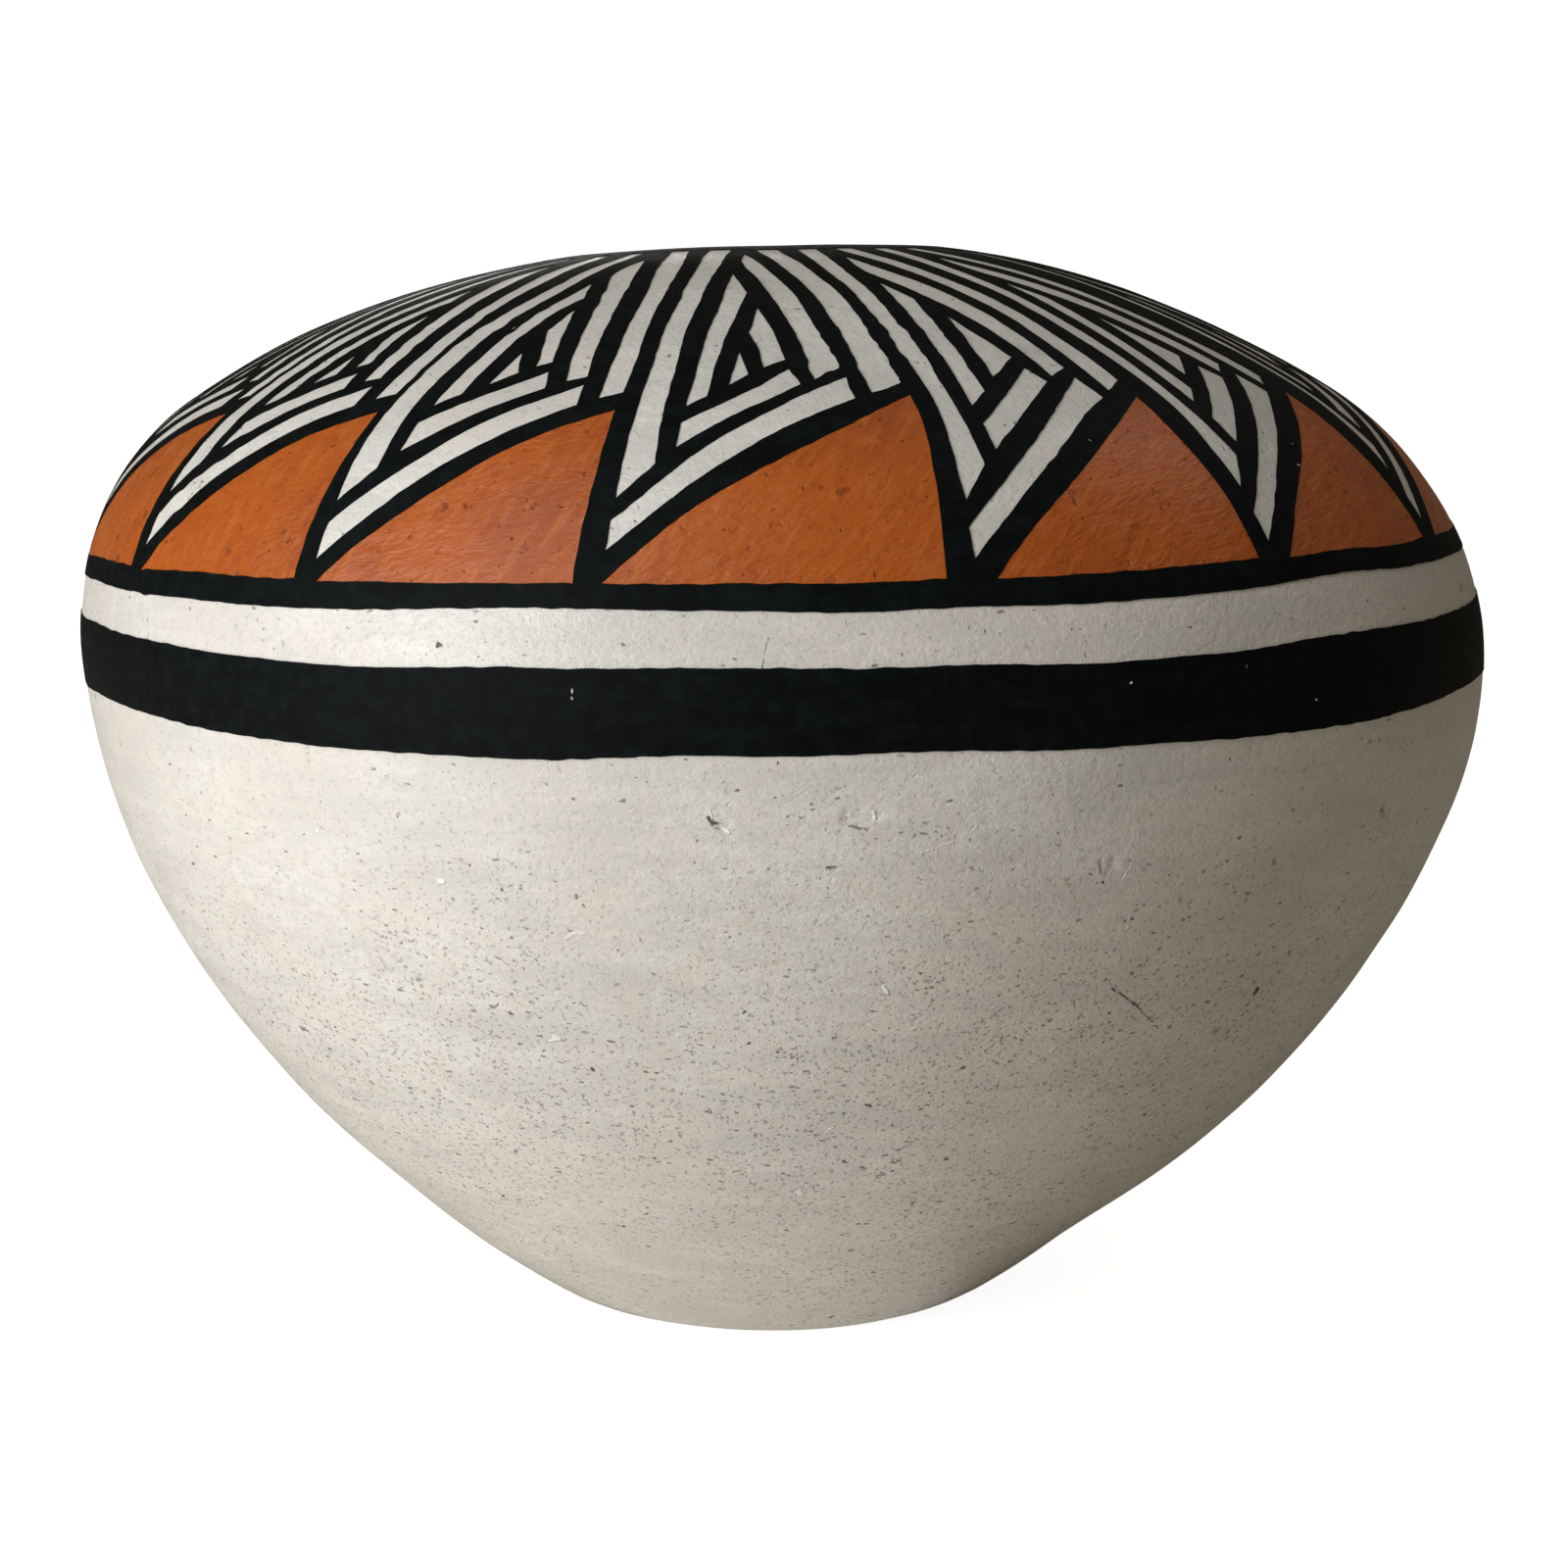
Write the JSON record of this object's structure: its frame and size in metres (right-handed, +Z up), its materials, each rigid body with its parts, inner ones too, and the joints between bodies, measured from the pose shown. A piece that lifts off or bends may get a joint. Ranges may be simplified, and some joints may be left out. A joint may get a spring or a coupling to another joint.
{
  "type": "pueblo pottery jar",
  "caption": "Coil-built clay seed jar with a low domed shoulder, a small round mouth on top, white slip, a black belt and a band of orange triangles under black and white strokes.",
  "frame": {"origin": "centre of the standing ring, on the surface that the jar stands on", "axes": "+Z up through the mouth; the front of the painted design faces -Y"},
  "size_m": [0.1503, 0.1504, 0.1135],
  "materials": {
    "fired_clay": "matte unglazed fired clay, scraped smooth",
    "white_slip": "stone-polished white slip, satin, finely speckled",
    "black_paint": "matte black mineral paint",
    "orange_paint": "stone-polished burnt orange slip paint, satin"
  },
  "bodies": {
    "root": {"moulded_base": "fired_clay", "wall_coil_1": "fired_clay", "wall_coil_2": "fired_clay", "wall_coil_3": "fired_clay", "wall_coil_4": "fired_clay", "wall_coil_5": "fired_clay", "wall_coil_6": "fired_clay", "wall_coil_7": "fired_clay", "wall_coil_8": "fired_clay", "wall_coil_9": "fired_clay", "rim_coil": "fired_clay", "white_slip": "white_slip", "black_belt": "black_paint", "black_shoulder_line": "black_paint", "black_mouth_ring": "black_paint", "black_dome_strokes": "black_paint", "orange_triangles": "orange_paint"}
  },
  "joints": []
}
